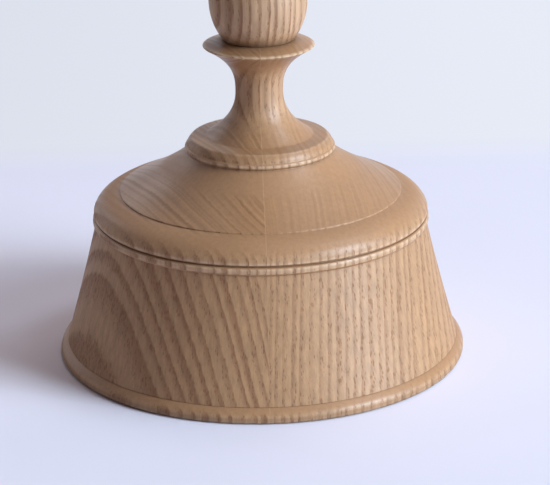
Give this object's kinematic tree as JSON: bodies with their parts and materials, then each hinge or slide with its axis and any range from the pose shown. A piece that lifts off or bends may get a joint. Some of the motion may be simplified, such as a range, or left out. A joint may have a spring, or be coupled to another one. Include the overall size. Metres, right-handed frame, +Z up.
{
  "type": "candle stand",
  "caption": "Turned ash candle stand with a broad drum foot, a ball knop between collars, a baluster stem and a brass-lined candle cup.",
  "frame": {"origin": "on the turning axis, in the plane that the foot's rim rests on", "axes": "+Z up along the turning axis; -Y is the front; the glue line of the foot's two boards lies in the plane x = 0"},
  "size_m": [0.1, 0.1, 0.2014],
  "materials": {
    "ash_left_board": "oiled ash, slanting growth rings",
    "ash_right_board": "oiled ash, straight growth rings",
    "ash_stem": "oiled ash, satin",
    "socket_brass": "spun, satin",
    "beech_dowel": "plain beech, fluted",
    "green_baize": "napped wool baize"
  },
  "bodies": {
    "root": {"foot_left_board": "ash_left_board", "foot_right_board": "ash_right_board", "ball_knop": "ash_stem", "baluster_stem": "ash_stem", "drip_pan": "ash_stem", "candle_cup": "ash_stem", "candle_socket_liner": "socket_brass", "lower_dowel": "beech_dowel", "upper_dowel": "beech_dowel", "baize_pad": "green_baize"}
  },
  "joints": []
}
